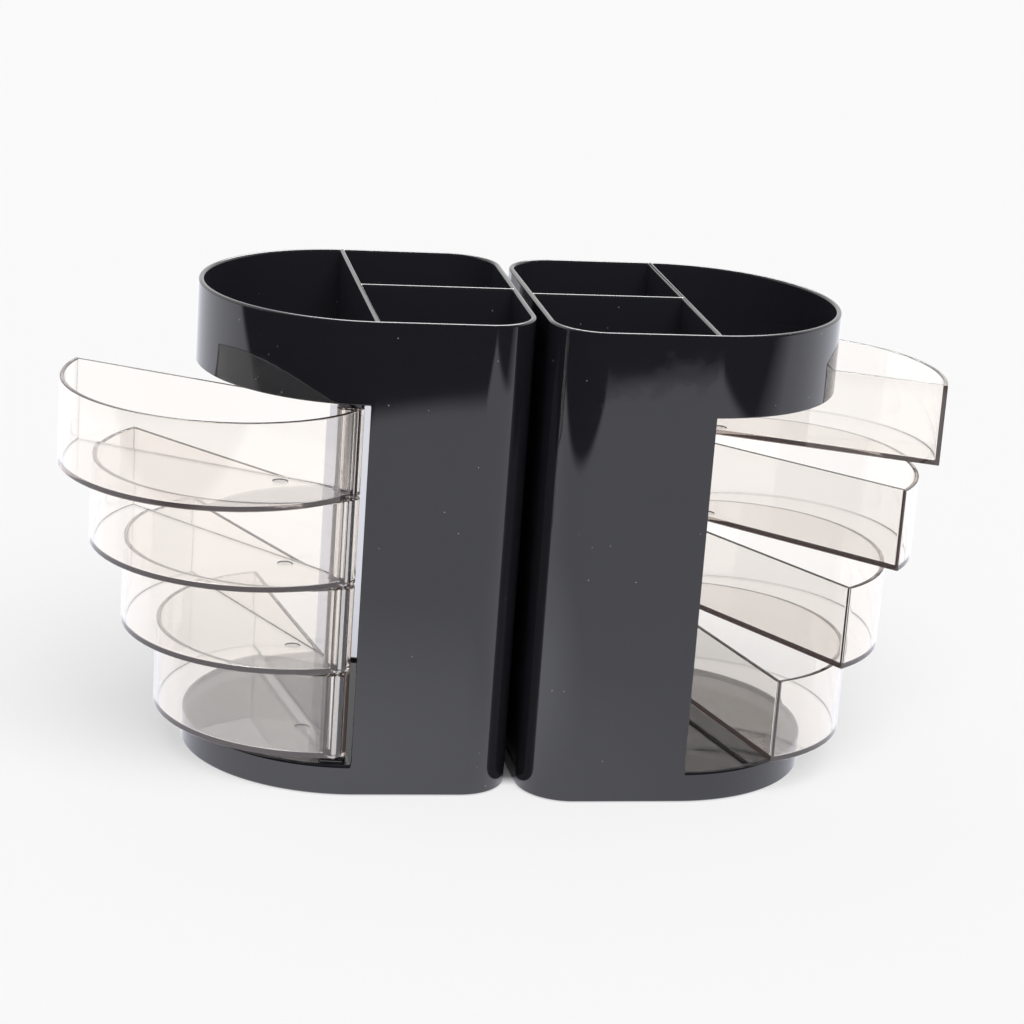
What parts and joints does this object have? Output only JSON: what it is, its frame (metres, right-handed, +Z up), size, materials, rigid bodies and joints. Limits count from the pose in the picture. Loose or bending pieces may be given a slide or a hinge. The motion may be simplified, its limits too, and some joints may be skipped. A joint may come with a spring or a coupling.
{
  "type": "desk organizer",
  "caption": "Back-to-back desk organizers with round top trays, pen wells and clear half-round drawers that swing out on corner rods.",
  "frame": {"origin": "on the desk top, in the middle of the room that the pair takes up as it stands, drawers fanned out", "axes": "+Z up; +X from the left unit to the right one; -Y is the side of the left unit's rod, which faces the viewer"},
  "size_m": [0.2404, 0.1106, 0.1256],
  "materials": {
    "gloss_black": "moulded high gloss",
    "smoke_clear": "clear with a light warm smoke tint",
    "polished_steel": "polished",
    "matt_black": "fine moulded texture",
    "foot_rubber": "matt"
  },
  "bodies": {
    "stand": {"left_housing": "gloss_black", "left_bottom_cover": "matt_black", "left_feet": "foot_rubber", "left_pivot_rod": "polished_steel", "right_housing": "gloss_black", "right_bottom_cover": "matt_black", "right_feet": "foot_rubber", "right_pivot_rod": "polished_steel"},
    "left_drawer_1": {"left_drawer_1": "smoke_clear"},
    "left_drawer_2": {"left_drawer_2": "smoke_clear"},
    "left_drawer_3": {"left_drawer_3": "smoke_clear"},
    "left_drawer_4": {"left_drawer_4": "smoke_clear"},
    "right_drawer_1": {"right_drawer_1": "smoke_clear"},
    "right_drawer_2": {"right_drawer_2": "smoke_clear"},
    "right_drawer_3": {"right_drawer_3": "smoke_clear"},
    "right_drawer_4": {"right_drawer_4": "smoke_clear"}
  },
  "joints": [
    {"name": "left_drawer_1_swing", "type": "hinge", "parent": "stand", "child": "left_drawer_1", "pos_m": [-0.04887, -0.03749, 0.09151], "axis": [0, 0, 1], "range_deg": [-58.5, 51.5]},
    {"name": "left_drawer_2_swing", "type": "hinge", "parent": "stand", "child": "left_drawer_2", "pos_m": [-0.04887, -0.03749, 0.06814], "axis": [0, 0, 1], "range_deg": [-40.4, 69.6]},
    {"name": "left_drawer_3_swing", "type": "hinge", "parent": "stand", "child": "left_drawer_3", "pos_m": [-0.04887, -0.03749, 0.04476], "axis": [0, 0, 1], "range_deg": [-25.2, 84.8]},
    {"name": "left_drawer_4_swing", "type": "hinge", "parent": "stand", "child": "left_drawer_4", "pos_m": [-0.04887, -0.03749, 0.02139], "axis": [0, 0, 1], "range_deg": [-10.7, 99.3]},
    {"name": "right_drawer_1_swing", "type": "hinge", "parent": "stand", "child": "right_drawer_1", "pos_m": [0.04647, 0.03413, 0.09151], "axis": [0, 0, 1], "range_deg": [-64, 46]},
    {"name": "right_drawer_2_swing", "type": "hinge", "parent": "stand", "child": "right_drawer_2", "pos_m": [0.04647, 0.03413, 0.06814], "axis": [0, 0, 1], "range_deg": [-44.9, 65.1]},
    {"name": "right_drawer_3_swing", "type": "hinge", "parent": "stand", "child": "right_drawer_3", "pos_m": [0.04647, 0.03413, 0.04476], "axis": [0, 0, 1], "range_deg": [-29.9, 80.1]},
    {"name": "right_drawer_4_swing", "type": "hinge", "parent": "stand", "child": "right_drawer_4", "pos_m": [0.04647, 0.03413, 0.02139], "axis": [0, 0, 1], "range_deg": [-15.1, 94.9]}
  ]
}
